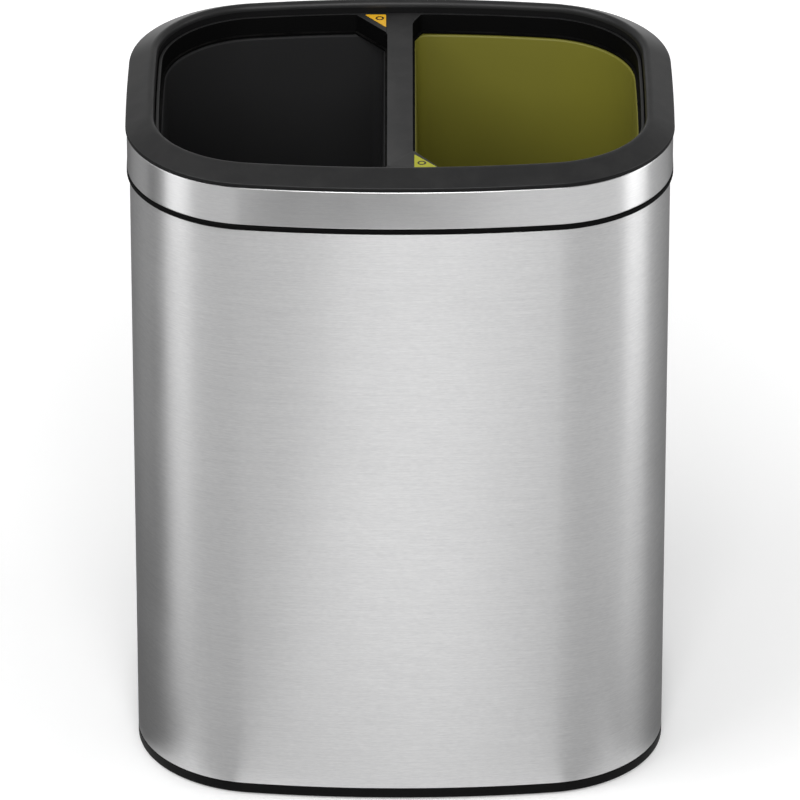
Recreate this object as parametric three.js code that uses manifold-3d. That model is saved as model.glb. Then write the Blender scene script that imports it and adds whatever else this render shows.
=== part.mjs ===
// Twin recycling bin: a brushed steel body on a black base, two lift-out buckets, and a lift-off top ring
// with a divider between its two openings.
// Millimetres, +Z up, +X to the right and +Y to the back as the bin is seen from its front.
// The origin is on the floor, in the middle of the plan.

import * as THREE from "three";
import { mergeVertices } from "three/addons/utils/BufferGeometryUtils.js";
import Module from "manifold-3d";

const wasm = await Module();
wasm.setup();

// Plan of the body's outside, four bowed edges joined by round corners.
const halfWidth = 202;
const halfDepth = 157.5;
const faceRadius = 877;
const sideRadius = 3000;
const cornerRadius = 98.6;

// Heights above the floor.
const baseBandTop = 9.6;
const shellTop = 483.7;
const shadowLine = 4.7;
const bandHeight = 30.8;
const rimRise = 11.9;
const ledgeDrop = 9.4;

// Fits between neighbours.
const seatGap = 0.3;
const slipGap = 0.8;

// How far a cut runs past the face it opens, and a joined post into what carries it.
const over = 1;

// Steel.
const sheet = 0.8;
const hemHeight = 9;
const seamWidth = 16;
const bandProud = 1.8;
const bandTopFlange = 2.9;
const bandFootFlange = 3.2;

// Base pan, feet and their screws.
const panLip = 1.2;
const panFloor = 6;
const panFloorThick = 2.5;
const panWall = 2;
const panUpstand = 24.4;
const humpLength = 180;
const humpHeight = 16;
const footRadius = 13;
const footInset = 17;
const footScrewHead = 3.7;
const footScrewHeadHeight = 1.5;
const footScrewSunk = 0.6;
const footScrewReach = 12;
const footBossWall = 2.7;
const footBossHeight = 9.5;
const bossCap = 1;
const screwRadius = 1.5;
const screwGap = 0.3;

// Collar in the body's mouth.
const collarProud = 2.2;
const collarFlange = 4.1;
const collarWall = 1.8;
const collarOuterLeg = 22;
const collarInnerLeg = 18;
const collarInner = 8.6;

// Carrier under the rim, and its screws.
const carrierWall = 1.8;
const carrierWebLift = 3.6;
const carrierWeb = 2.5;
const carrierSpigot = 18;
const carrierInner = 12;
const carrierScrewInset = 5.2;
const carrierScrewX = 101;
const carrierScrewHead = 3;
const carrierScrewHeadHeight = 2;
const carrierScrewLength = 14;
const rimBossWall = 1.7;

// Rim moulding.
const rimOverhang = 2.9;
const rimLip = 3.2;
const rimEdge = 1.1;
const rimShoulderStep = 0.8;
const rimWall = 2;
const rimWidth = 19;
const rimCrestRadius = 1.9;

// Divider frame in the rim.
const ledgeGroove = 0.9;
const ledgeWidth = 2.8;
const dividerHalf = 10.2;
const framePlate = 2.5;
const frameFlange = 2.5;
const skirtWall = 1.6;
const skirtDrop = 15.5;
const gussetRight = { across: 27, along: 40, labelAcross: 25, labelAlong: 31 };
const gussetLeft = { across: 24, along: 32, labelAcross: 16, labelAlong: 21.5 };
const cornerCut = { across: 6.5, along: 14 };
const labelThick = 0.4;
const labelGap = 0.1;
const labelMargin = 0.4;

// Buckets and their fold-down handles.
const bucketWall = 2;
const bucketDraft = 8;
const bucketFillet = 10;
const bucketFloor = 2.5;
const bucketMargin = 2;
const lipWidth = 9.7;
const lipThick = 2;
const lipSkirt = 10;
const lipSkirtWall = 1.6;
const lipRound = 0.8;
const handleWidth = 4.8;
const handleThick = 4;
const handlePivotX = 95;
const handlePin = 1.2;
const handlePinGap = 0.3;
const handleHeadroom = 1;
const earHalf = 4;
const earThick = 2.3;

// Facets.
const cornerSteps = 10;
const faceSteps = 8;
const sideSteps = 2;
const filletSteps = 4;
const crestSteps = 4;
const roundSteps = 12;

// Places that follow from the sizes above.
const collarBottom = shellTop + seatGap;
const collarTop = collarBottom + collarFlange;
const bandBottom = shellTop + shadowLine;
const bandTop = bandBottom + bandHeight;
const rimBottom = bandTop + seatGap;
const rimShoulder = rimBottom + rimLip;
const crest = rimBottom + rimRise - seatGap;
const ledgeTop = crest - ledgeDrop;
const frameOuter = rimWidth + ledgeGroove;
const openingInset = frameOuter + ledgeWidth;
const carrierBottom = bandBottom + sheet + seatGap;
const webBottom = bandBottom + carrierWebLift;
const webTop = webBottom + carrierWeb;
const skirtBottom = ledgeTop - skirtDrop;
const lipTop = skirtBottom - slipGap;
const bucketInside = openingInset + bucketMargin;
const bucketOutside = bucketInside - bucketWall;
const lipOuter = bucketInside - lipWidth;
const panFloorTop = panFloor + panFloorThick;
const bucketBottom = panFloorTop + seatGap;
const handleBottom = lipTop + seatGap;
const handleTop = handleBottom + handleThick;
const flangeBottom = handleTop + handleHeadroom;
const flangeTop = flangeBottom + frameFlange;
const spigotOuter = collarInner + seatGap;
const screwHole = screwRadius + screwGap;
const footCounterboreDepth = footScrewHeadHeight + screwGap + footScrewSunk;

// Centres of the plan's arcs: the corner arc touches the face arc and the side arc from inside.
const faceCentre = new THREE.Vector2(0, halfDepth - faceRadius);
const sideCentre = new THREE.Vector2(halfWidth - sideRadius, 0);
const cornerCentre = innerCircleMeeting(
  faceCentre,
  faceRadius - cornerRadius,
  sideCentre,
  sideRadius - cornerRadius,
);
const sideAngle = cornerCentre.clone().sub(sideCentre).angle();
const faceAngle = cornerCentre.clone().sub(faceCentre).angle();

// The crossing of two circles that lies in the plan's back right quarter.
function innerCircleMeeting(a, radiusA, b, radiusB) {
  const span = b.clone().sub(a);
  const distance = span.length();
  const along = (radiusA ** 2 - radiusB ** 2 + distance ** 2) / (2 * distance);
  const across = Math.sqrt(radiusA ** 2 - along ** 2);
  const unit = span.divideScalar(distance);
  const foot = a.clone().addScaledVector(unit, along);
  const normal = new THREE.Vector2(-unit.y, unit.x);
  const one = foot.clone().addScaledVector(normal, across);
  const other = foot.clone().addScaledVector(normal, -across);
  return one.x > 0 && one.y > 0 ? one : other;
}

// Points of an arc with their outward directions.
function arc(centre, radius, from, to, steps) {
  return Array.from({ length: steps + 1 }, (_, i) => {
    const angle = from + ((to - from) * i) / steps;
    const out = new THREE.Vector2(Math.cos(angle), Math.sin(angle));
    return { point: centre.clone().addScaledVector(out, radius), out };
  });
}

// Arcs end to end, with each shared point kept once.
function joinArcs(arcs) {
  const stations = arcs.flat();
  return stations.filter((station, i) => {
    const last = stations[(i + stations.length - 1) % stations.length];
    return station.point.distanceTo(last.point) > 1e-6;
  });
}

const flipX = (v) => new THREE.Vector2(-v.x, v.y);
const flipY = (v) => new THREE.Vector2(v.x, -v.y);
const turn = (v) => v.clone().negate();

// The whole plan, drawn in from the body's outside by an inset.
function planStations(inset) {
  const corner = cornerRadius - inset;
  const face = faceRadius - inset;
  const side = sideRadius - inset;
  const pi = Math.PI;
  return joinArcs([
    arc(sideCentre, side, -sideAngle, sideAngle, sideSteps),
    arc(cornerCentre, corner, sideAngle, faceAngle, cornerSteps),
    arc(faceCentre, face, faceAngle, pi - faceAngle, faceSteps),
    arc(flipX(cornerCentre), corner, pi - faceAngle, pi - sideAngle, cornerSteps),
    arc(flipX(sideCentre), side, pi - sideAngle, pi + sideAngle, sideSteps),
    arc(turn(cornerCentre), corner, pi + sideAngle, pi + faceAngle, cornerSteps),
    arc(flipY(faceCentre), face, pi + faceAngle, 2 * pi - faceAngle, faceSteps),
    arc(flipY(cornerCentre), corner, 2 * pi - faceAngle, 2 * pi - sideAngle, cornerSteps),
  ]);
}

// The plan's right half, closed by a straight wall at lineX with rounded corners.
function halfStations(inset, lineX, fillet) {
  const corner = cornerRadius - inset;
  const face = faceRadius - inset;
  const side = sideRadius - inset;
  const pi = Math.PI;
  const filletX = lineX + fillet;
  const filletY = faceCentre.y + Math.sqrt((face - fillet) ** 2 - filletX ** 2);
  const filletCentre = new THREE.Vector2(filletX, filletY);
  const endAngle = filletCentre.clone().sub(faceCentre).angle();
  const arcs = [
    arc(sideCentre, side, -sideAngle, sideAngle, sideSteps),
    arc(cornerCentre, corner, sideAngle, faceAngle, cornerSteps),
    arc(faceCentre, face, faceAngle, endAngle, faceSteps / 2),
    arc(filletCentre, fillet, endAngle, pi, filletSteps),
    arc(flipY(filletCentre), fillet, pi, 2 * pi - endAngle, filletSteps),
    arc(flipY(faceCentre), face, 2 * pi - endAngle, 2 * pi - faceAngle, faceSteps / 2),
    arc(flipY(cornerCentre), corner, 2 * pi - faceAngle, 2 * pi - sideAngle, cornerSteps),
  ];
  return joinArcs(arcs);
}

// A closed profile of [inset, height] points, outer side upwards, carried once round the stations.
function ring(profile, stations, stationInset = 0) {
  const reach = 1000;
  const points = profile.map(([inset, z]) => new THREE.Vector2(reach - inset, z));
  points.push(points[0].clone());
  const geometry = new THREE.LatheGeometry(points, stations.length);
  const position = geometry.getAttribute("position");
  for (let i = 0; i < position.count; i++) {
    const { point, out } = stations[Math.floor(i / points.length) % stations.length];
    const corner = points[i % points.length];
    const push = corner.x - reach + stationInset;
    position.setXYZ(i, point.x + out.x * push, point.y + out.y * push, corner.y);
  }
  return geometry;
}

const wholePlan = planStations(0);

function planRing(profile) {
  return solid(ring(profile, wholePlan));
}

// A flat plate between two heights, from a closed run of points.
function plate(points, low, high) {
  const depth = high - low;
  const geometry = new THREE.ExtrudeGeometry(new THREE.Shape(points), { depth, bevelEnabled: false });
  return solid(geometry.translate(0, 0, low));
}

const pointsOf = (stations) => stations.map((station) => station.point);

function planPlate(inset, low, high) {
  return plate(pointsOf(planStations(inset)), low, high);
}

function box(low, high) {
  const size = high.map((value, i) => value - low[i]);
  const geometry = new THREE.BoxGeometry(...size);
  return solid(geometry.translate(...low.map((value, i) => value + size[i] / 2)));
}

// An upright cylinder between two heights.
function post(radius, x, y, low, high) {
  const geometry = new THREE.CylinderGeometry(radius, radius, high - low, roundSteps);
  geometry.rotateX(Math.PI / 2);
  return solid(geometry.translate(x, y, (low + high) / 2));
}

// A level cylinder along Y between two places.
function pin(radius, x, z, from, to) {
  const geometry = new THREE.CylinderGeometry(radius, radius, to - from, roundSteps);
  return solid(geometry.translate(x, (from + to) / 2, z));
}

function solid(geometry) {
  const bare = new THREE.BufferGeometry();
  bare.setAttribute("position", geometry.getAttribute("position"));
  bare.setIndex(geometry.index);
  const merged = mergeVertices(bare, 1e-4);
  return new wasm.Manifold(
    new wasm.Mesh({
      numProp: 3,
      vertProperties: merged.getAttribute("position").array,
      triVerts: new Uint32Array(merged.index.array),
    }),
  );
}

function geometryOf(manifold) {
  const made = manifold.getMesh();
  const geometry = new THREE.BufferGeometry();
  geometry.setAttribute("position", new THREE.BufferAttribute(made.vertProperties, made.numProp));
  geometry.setIndex(new THREE.BufferAttribute(made.triVerts, 1));
  const flat = geometry.toNonIndexed();
  flat.computeVertexNormals();
  return flat;
}

const materials = {
  steel: new THREE.MeshStandardMaterial({ color: 0xb9b9bb, roughness: 0.34, metalness: 1 }),
  black: new THREE.MeshStandardMaterial({ color: 0x1b1b1c, roughness: 0.5, metalness: 0 }),
  softBlack: new THREE.MeshStandardMaterial({ color: 0x232324, roughness: 0.42, metalness: 0 }),
  rubber: new THREE.MeshStandardMaterial({ color: 0x151515, roughness: 0.8, metalness: 0 }),
  zinc: new THREE.MeshStandardMaterial({ color: 0x9a9c9e, roughness: 0.4, metalness: 1 }),
  charcoal: new THREE.MeshStandardMaterial({ color: 0x202020, roughness: 0.45, metalness: 0 }),
  olive: new THREE.MeshStandardMaterial({ color: 0x6d7326, roughness: 0.45, metalness: 0 }),
  amber: new THREE.MeshStandardMaterial({ color: 0xe9b01a, roughness: 0.4, metalness: 0 }),
  lime: new THREE.MeshStandardMaterial({ color: 0xd3d424, roughness: 0.4, metalness: 0 }),
};

function mesh(name, manifold, material) {
  const made = new THREE.Mesh(geometryOf(manifold), material);
  made.name = name;
  return made;
}

// A second copy of a right-hand piece, half a turn round the middle.
function turned(manifold) {
  return manifold.rotate([0, 0, 180]);
}

// Body.

function bodyShell() {
  const bottom = baseBandTop + seatGap;
  return planRing([
    [0, bottom],
    [0, shellTop],
    [2 * sheet, shellTop],
    [2 * sheet, shellTop - hemHeight],
    [sheet, shellTop - hemHeight],
    [sheet, bottom],
  ]);
}

// The lap tab behind the seam, on the inside of the back.
function seamStrip() {
  const back = halfDepth - sheet - seatGap - seamWidth ** 2 / (8 * faceRadius);
  const low = panFloorTop + panUpstand + slipGap;
  const high = collarBottom - collarOuterLeg - seatGap;
  return box([-seamWidth / 2, back - sheet, low], [seamWidth / 2, back, high]);
}

const diagonal = new THREE.Vector2(1, 1).normalize();
const footPlace = cornerCentre.clone().addScaledVector(diagonal, cornerRadius - footInset);
const quarterSigns = { front_left: [-1, -1], front_right: [1, -1], back_right: [1, 1], back_left: [-1, 1] };

function basePan() {
  const upstandOuter = sheet + seatGap;
  const upstandInner = upstandOuter + panWall;
  const upstandTop = panFloorTop + panUpstand;
  const wall = planRing([
    [0, panLip],
    [0, baseBandTop],
    [upstandOuter, baseBandTop],
    [upstandOuter, upstandTop],
    [upstandInner, upstandTop],
    [upstandInner, panLip],
  ]);
  const floor = planPlate(upstandOuter + panWall / 2, panFloor, panFloorTop);
  const humpHalf = bucketLine(bucketOutside + bucketDraft) - slipGap;
  const humpTop = panFloorTop + humpHeight;
  const half = humpLength / 2;
  const hump = box([-humpHalf, -half, panFloor], [humpHalf, half, humpTop]);
  const humpInside = box(
    [panWall - humpHalf, panWall - half, panFloor - over],
    [humpHalf - panWall, half - panWall, humpTop - panFloorThick],
  );
  let pan = wall.add(floor).add(hump).subtract(humpInside);
  for (const [sx, sy] of Object.values(quarterSigns)) {
    const x = sx * footPlace.x;
    const y = sy * footPlace.y;
    const bossTop = panFloorTop + footBossHeight;
    pan = pan.add(post(screwHole + footBossWall, x, y, panFloor, bossTop));
    pan = pan.subtract(post(screwHole, x, y, panFloor - over, bossTop - bossCap));
  }
  return pan;
}

function foot(x, y) {
  const top = panFloor - seatGap;
  const body = post(footRadius, x, y, 0, top);
  const counterbore = post(footScrewHead + 2 * screwGap, x, y, -over, footCounterboreDepth);
  return body.subtract(counterbore).subtract(post(screwHole, x, y, -over, top + over));
}

function screw(x, y, seat, headRadius, headHeight, length) {
  const head = post(headRadius, x, y, seat - headHeight, seat);
  return head.add(post(screwRadius, x, y, seat - headHeight / 2, seat + length));
}

function shellCollar() {
  const outerLeg = 2 * sheet + seatGap;
  return planRing([
    [-collarProud, collarBottom],
    [-collarProud, collarTop],
    [collarInner, collarTop],
    [collarInner, collarBottom - collarInnerLeg],
    [collarInner - collarWall, collarBottom - collarInnerLeg],
    [collarInner - collarWall, collarBottom],
    [outerLeg + collarWall, collarBottom],
    [outerLeg + collarWall, collarBottom - collarOuterLeg],
    [outerLeg, collarBottom - collarOuterLeg],
    [outerLeg, collarBottom],
  ]);
}

// Top ring.

function steelBand() {
  const outer = -bandProud;
  const inner = outer + sheet;
  return planRing([
    [outer, bandBottom],
    [outer, bandTop],
    [outer + bandTopFlange, bandTop],
    [outer + bandTopFlange, bandTop - sheet],
    [inner, bandTop - sheet],
    [inner, bandBottom + sheet],
    [outer + bandFootFlange, bandBottom + sheet],
    [outer + bandFootFlange, bandBottom],
  ]);
}

// Places of the carrier's screws, round the plan.
function carrierScrewPlaces() {
  const onFace = faceRadius - carrierScrewInset;
  const onSide = halfWidth - carrierScrewInset;
  const backY = faceCentre.y + Math.sqrt(onFace ** 2 - carrierScrewX ** 2);
  return [
    [carrierScrewX, backY],
    [-carrierScrewX, backY],
    [-onSide, 0],
    [-carrierScrewX, -backY],
    [carrierScrewX, -backY],
    [onSide, 0],
  ];
}

function ringCarrier() {
  const outer = -bandProud + sheet + seatGap;
  const outerInner = outer + carrierWall;
  const inner = carrierInner - carrierWall;
  const spigotInner = spigotOuter + carrierWall;
  const spigotBottom = webBottom - carrierSpigot;
  const outerTop = bandTop - sheet - seatGap;
  const innerTop = flangeBottom - seatGap;
  let carrier = planRing([
    [outer, carrierBottom],
    [outer, outerTop],
    [outerInner, outerTop],
    [outerInner, webTop],
    [inner, webTop],
    [inner, innerTop],
    [carrierInner, innerTop],
    [carrierInner, webBottom],
    [spigotInner, webBottom],
    [spigotInner, spigotBottom],
    [spigotOuter, spigotBottom],
    [spigotOuter, webBottom],
    [outerInner, webBottom],
    [outerInner, carrierBottom],
  ]);
  for (const [x, y] of carrierScrewPlaces()) {
    carrier = carrier.subtract(post(screwHole, x, y, webBottom - over, webTop + over));
  }
  return carrier;
}

// The rim's top slopes up from its shoulder and runs into the round of its crest.
function rimMoulding() {
  const outer = -rimOverhang;
  const shoulder = outer + rimShoulderStep;
  const roundInset = rimWidth - rimCrestRadius;
  const roundZ = crest - rimCrestRadius;
  const toRound = new THREE.Vector2(roundInset - shoulder, roundZ - rimShoulder);
  const slopeAngle = toRound.angle() + Math.asin(rimCrestRadius / toRound.length());
  const slope = Math.tan(slopeAngle);
  const crestRound = Array.from({ length: crestSteps + 1 }, (_, i) => {
    const angle = (Math.PI / 2 + slopeAngle) * (1 - i / crestSteps);
    return [roundInset + rimCrestRadius * Math.cos(angle), roundZ + rimCrestRadius * Math.sin(angle)];
  });
  const innerBottom = flangeTop + seatGap;
  const wallInside = rimWidth - rimWall;
  const skin = rimWall * Math.sqrt(1 + slope ** 2);
  const footInner = outer + 2 * rimWall - seatGap;
  const onSlope = (inset) => rimShoulder + slope * (inset - shoulder);
  let rim = planRing([
    [outer + rimEdge, rimBottom],
    [outer, rimBottom + rimEdge],
    [outer, rimShoulder - rimEdge],
    [shoulder, rimShoulder],
    ...crestRound,
    [rimWidth, innerBottom],
    [wallInside, innerBottom],
    [wallInside, onSlope(wallInside) - skin],
    [footInner, onSlope(footInner) - skin],
    [footInner, rimBottom],
  ]);
  for (const [x, y] of carrierScrewPlaces()) {
    const bossBottom = webTop + seatGap;
    const bossTop = onSlope(carrierScrewInset) - skin / 2;
    rim = rim.add(post(screwHole + rimBossWall, x, y, bossBottom, bossTop));
    rim = rim.subtract(post(screwHole, x, y, bossBottom - over, bossBottom + carrierScrewLength));
  }
  return rim;
}

// The right-hand opening as a block, its walls moved out by grow, with its two corners by the divider cut.
function rightOpening(gusset, grow, low, high) {
  const lineX = dividerHalf - grow;
  const inset = openingInset - grow;
  const lineY = faceCentre.y + Math.sqrt((faceRadius - openingInset) ** 2 - dividerHalf ** 2);
  const sharp = seatGap / 10;
  const block = plate(pointsOf(halfStations(inset, lineX, sharp)), low, high);
  const front = cornerWedge(gusset, -lineY, 1, grow, low, high);
  const back = cornerWedge(cornerCut, lineY, -1, grow, low, high);
  return block.subtract(front).subtract(back);
}

// A three-sided block over a corner by the divider. Its long side lies across the corner.
function cornerWedge({ across, along }, cornerY, inwards, grow, low, high) {
  const length = Math.hypot(across, along);
  const side = new THREE.Vector2(across, -inwards * along).divideScalar(length);
  const nearX = dividerHalf - grow * (length / along);
  const middle = new THREE.Vector2(nearX + across / 2, cornerY + inwards * (along / 2));
  const beyond = new THREE.Vector2(dividerHalf - length, cornerY - inwards * length);
  const sideEnds = [2 * length, -2 * length].map((reach) => middle.clone().addScaledVector(side, reach));
  const points = [...sideEnds, beyond];
  const wedge = inwards > 0 ? points : points.reverse();
  return plate(wedge, low - over, high + over);
}

function dividerFrame() {
  const wallInner = openingInset - skirtWall / 2;
  const top = planPlate(frameOuter, ledgeTop - framePlate, ledgeTop);
  const wall = planRing([
    [frameOuter, flangeBottom],
    [frameOuter, ledgeTop],
    [wallInner, ledgeTop],
    [wallInner, flangeBottom],
  ]);
  const flange = planRing([
    [carrierInner - carrierWall, flangeBottom],
    [carrierInner - carrierWall, flangeTop],
    [wallInner, flangeTop],
    [wallInner, flangeBottom],
  ]);
  const skirts = rightOpening(gussetRight, skirtWall, skirtBottom, ledgeTop).add(
    turned(rightOpening(gussetLeft, skirtWall, skirtBottom, ledgeTop)),
  );
  const low = skirtBottom - over;
  const high = ledgeTop + over;
  return top
    .add(wall)
    .add(flange)
    .add(skirts)
    .subtract(rightOpening(gussetRight, 0, low, high))
    .subtract(turned(rightOpening(gussetLeft, 0, low, high)));
}

// The triangular label on the right-hand opening's gusset.
function label({ labelAcross, labelAlong }) {
  const cornerX = dividerHalf + labelMargin;
  const frontY = -(faceCentre.y + Math.sqrt((faceRadius - openingInset) ** 2 - (cornerX + labelAcross) ** 2));
  const cornerY = frontY + labelMargin;
  const points = [
    new THREE.Vector2(cornerX, cornerY),
    new THREE.Vector2(cornerX + labelAcross, cornerY),
    new THREE.Vector2(cornerX, cornerY + labelAlong),
  ];
  const low = ledgeTop + labelGap;
  return plate(points, low, low + labelThick);
}

// Buckets.

// Where a bucket's straight wall by the divider stands, for each inset of its round walls.
function bucketLine(inset) {
  return dividerHalf + bucketMargin + inset - bucketInside;
}

function rightBucket() {
  const stations = halfStations(bucketInside, bucketLine(bucketInside), bucketFillet);
  const lipBottom = lipTop - lipThick;
  const floorTop = bucketBottom + bucketFloor;
  const wall = solid(
    ring(
      [
        [bucketOutside + bucketDraft + lipRound, bucketBottom],
        [bucketOutside + bucketDraft, bucketBottom + lipRound],
        [bucketOutside, lipBottom],
        [lipOuter + lipSkirtWall, lipBottom],
        [lipOuter + lipSkirtWall, lipTop - lipSkirt],
        [lipOuter, lipTop - lipSkirt],
        [lipOuter, lipTop - lipRound],
        [lipOuter + lipRound, lipTop],
        [bucketInside - lipRound, lipTop],
        [bucketInside, lipTop - lipRound],
        [bucketInside + bucketDraft, floorTop],
        [bucketInside + bucketDraft, bucketBottom],
      ],
      stations,
      bucketInside,
    ),
  );
  const floorInset = bucketInside + bucketDraft - bucketWall / 2;
  const floorFillet = bucketFillet - bucketDraft + bucketWall / 2;
  const floorStations = halfStations(floorInset, bucketLine(floorInset), floorFillet);
  const floor = plate(pointsOf(floorStations), bucketBottom, floorTop);
  let bucket = wall.add(floor);
  for (const side of [-1, 1]) {
    bucket = bucket.add(ear(side)).subtract(handleBore(side));
  }
  return bucket;
}

// Distance from the middle to the bowed face at the handle's pivots, for an inset.
function faceAtPivot(inset) {
  return faceCentre.y + Math.sqrt((faceRadius - inset) ** 2 - handlePivotX ** 2);
}

const handleOuter = lipOuter + 2 * seatGap;
const handleAxisZ = handleBottom + handleThick / 2;
const earOuterInset = lipOuter + seatGap - earThick;

function ear(side) {
  const inner = faceAtPivot(lipOuter) - seatGap;
  const outer = faceAtPivot(earOuterInset);
  const ys = [side * inner, side * outer].sort((a, b) => a - b);
  const top = flangeBottom - slipGap / 2;
  return box([handlePivotX - earHalf, ys[0], lipTop - lipSkirt], [handlePivotX + earHalf, ys[1], top]);
}

function handleBore(side) {
  const inner = faceAtPivot(lipOuter) - seatGap - over;
  const outer = faceAtPivot(earOuterInset) + over;
  const ys = [side * inner, side * outer].sort((a, b) => a - b);
  return pin(handlePin + handlePinGap, handlePivotX, handleAxisZ, ys[0], ys[1]);
}

// The handle lies flat on the lip, outside the opening's skirt, and swings up about its two pins.
function rightHandle() {
  const inner = handleOuter + handleWidth;
  const strap = solid(
    ring(
      [
        [handleOuter, handleBottom],
        [handleOuter, handleTop],
        [inner, handleTop],
        [inner, handleBottom],
      ],
      wholePlan,
    ),
  );
  const reach = halfWidth + over;
  const keep = box([handlePivotX, -reach, handleBottom - over], [reach, reach, handleTop + over]);
  let handle = strap.intersect(keep);
  for (const side of [-1, 1]) {
    const outer = faceAtPivot(handleOuter);
    const hub = [side * (outer - handleWidth), side * outer].sort((a, b) => a - b);
    const tip = [side * (outer - over), side * faceAtPivot(earOuterInset)].sort((a, b) => a - b);
    handle = handle.add(pin(handleThick / 2, handlePivotX, handleAxisZ, hub[0], hub[1]));
    handle = handle.add(pin(handlePin, handlePivotX, handleAxisZ, tip[0], tip[1]));
  }
  return handle;
}

// The whole bin.

const bin = new THREE.Group();

const body = new THREE.Group();
body.add(mesh("body_shell", bodyShell(), materials.steel));
body.add(mesh("seam_strip", seamStrip(), materials.steel));
body.add(mesh("base_pan", basePan(), materials.black));
body.add(mesh("shell_collar", shellCollar(), materials.black));
for (const [name, [sx, sy]] of Object.entries(quarterSigns)) {
  const x = sx * footPlace.x;
  const y = sy * footPlace.y;
  const seat = footCounterboreDepth - screwGap;
  body.add(mesh(`foot_${name}`, foot(x, y), materials.rubber));
  const footScrew = screw(x, y, seat, footScrewHead, footScrewHeadHeight, footScrewReach);
  body.add(mesh(`foot_screw_${name}`, footScrew, materials.zinc));
}

const topRing = new THREE.Group();
topRing.add(mesh("steel_band", steelBand(), materials.steel));
topRing.add(mesh("ring_carrier", ringCarrier(), materials.black));
topRing.add(mesh("rim_moulding", rimMoulding(), materials.softBlack));
topRing.add(mesh("divider_frame", dividerFrame(), materials.softBlack));
topRing.add(mesh("label_left", turned(label(gussetLeft)), materials.amber));
topRing.add(mesh("label_right", label(gussetRight), materials.lime));
carrierScrewPlaces().forEach(([x, y], i) => {
  const seat = webBottom - seatGap;
  const reach = carrierScrewLength;
  const carrierScrew = screw(x, y, seat, carrierScrewHead, carrierScrewHeadHeight, reach);
  topRing.add(mesh(`carrier_screw_${i + 1}`, carrierScrew, materials.zinc));
});

const buckets = new THREE.Group();
buckets.add(mesh("bucket_left", turned(rightBucket()), materials.charcoal));
buckets.add(mesh("bucket_right", rightBucket(), materials.olive));
buckets.add(mesh("handle_left", turned(rightHandle()), materials.charcoal));
buckets.add(mesh("handle_right", rightHandle(), materials.olive));

bin.add(body, topRing, buckets);

export default bin;
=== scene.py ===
import math
import bmesh
import bpy
from mathutils import Matrix, Vector
from mathutils.geometry import intersect_sphere_sphere_2d


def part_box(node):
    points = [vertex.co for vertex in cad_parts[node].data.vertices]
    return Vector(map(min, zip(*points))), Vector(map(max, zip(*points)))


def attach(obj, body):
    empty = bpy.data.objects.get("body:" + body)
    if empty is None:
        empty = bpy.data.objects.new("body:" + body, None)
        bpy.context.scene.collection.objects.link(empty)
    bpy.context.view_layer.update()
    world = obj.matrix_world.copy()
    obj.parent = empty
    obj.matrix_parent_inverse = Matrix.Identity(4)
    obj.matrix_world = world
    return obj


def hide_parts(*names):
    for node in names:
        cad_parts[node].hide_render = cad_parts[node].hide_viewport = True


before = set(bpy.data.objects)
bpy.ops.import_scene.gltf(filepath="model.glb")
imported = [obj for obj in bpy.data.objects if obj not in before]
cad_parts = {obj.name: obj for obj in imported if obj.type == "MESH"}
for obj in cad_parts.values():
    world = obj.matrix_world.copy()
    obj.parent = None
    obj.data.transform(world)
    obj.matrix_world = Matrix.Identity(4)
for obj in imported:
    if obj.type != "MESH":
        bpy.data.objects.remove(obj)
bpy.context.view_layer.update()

# The bin's outline from above: four bowed edges joined by round corners. Metres, +Z up, front towards -Y.
plan = {
    "halfWidth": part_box("body_shell")[1].x,
    "halfDepth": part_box("body_shell")[1].y,
    "faceRadius": 0.877,
    "sideRadius": 3.0,
    "cornerRadius": 0.0986,
    "faceSteps": 8,
    "cornerSteps": 28,
    "sideSteps": 2,
    "filletSteps": 8,
}
seatGap = 0.0003  # between pieces that rest on each other
quarterTurn = math.pi / 2
faceCentre = Vector((0, plan["halfDepth"] - plan["faceRadius"], 0))
sideCentre = Vector((plan["halfWidth"] - plan["sideRadius"], 0, 0))
cornerCentre = max(
    intersect_sphere_sphere_2d(
        faceCentre.xy,
        plan["faceRadius"] - plan["cornerRadius"],
        sideCentre.xy,
        plan["sideRadius"] - plan["cornerRadius"],
    ),
    key=lambda point: point.y,
).to_3d()


def headingOf(offset):
    return math.atan2(offset.y, offset.x)


faceAngle = headingOf(cornerCentre - faceCentre)
sideAngle = headingOf(cornerCentre - sideCentre)


def faceAt(inset, x):  # how far back the bowed face stands at a place across
    return faceCentre.y + math.sqrt((plan["faceRadius"] - inset) ** 2 - x**2)


camera = {
    "lens": 394.07,
    "distance": 6.680,
    "elevation": math.radians(28.35),
    "aimHeight": 0.2606,
    "farClip": 60,
}


def placeCamera():
    eye = bpy.data.cameras.new("studioCamera")
    eye.lens = camera["lens"]
    eye.clip_end = camera["farClip"]
    stand = bpy.data.objects.new("studioCamera", eye)
    away = camera["distance"] * math.cos(camera["elevation"])
    rise = camera["distance"] * math.sin(camera["elevation"])
    stand.location = (0, -away, camera["aimHeight"] + rise)
    stand.rotation_euler = (quarterTurn - camera["elevation"], 0, 0)
    bpy.context.scene.collection.objects.link(stand)
    bpy.context.scene.camera = stand


studio = {
    "worldLevel": 0.42,
    "floorSize": 40,
    "floorColour": (0.82, 0.82, 0.82, 1),
    # distance from the middle of the floor, and the strength of its glow there
    "glowNear": (0.15, 0.2),
    "glowFar": (1.2, 0.66),
}
# name: place, aim, width, height, power
softboxes = {
    "frontSoftbox": ((0.05, -2.6, 1.9), (0.03, 0, 0.3), 1.1, 1.5, 39),
    "leftSoftbox": ((-1.0, -0.355, 0.7), (-0.1, -0.355, 0.7), 0.42, 1.4, 1.95),
    "rightSoftbox": ((1.0, -0.085, 0.7), (0.1, -0.085, 0.7), 0.37, 1.4, 2.9),
    "topSoftbox": ((-1.5, -0.9, 2.4), (0, 0, 0.4), 1.6, 1.2, 22),
}
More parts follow.
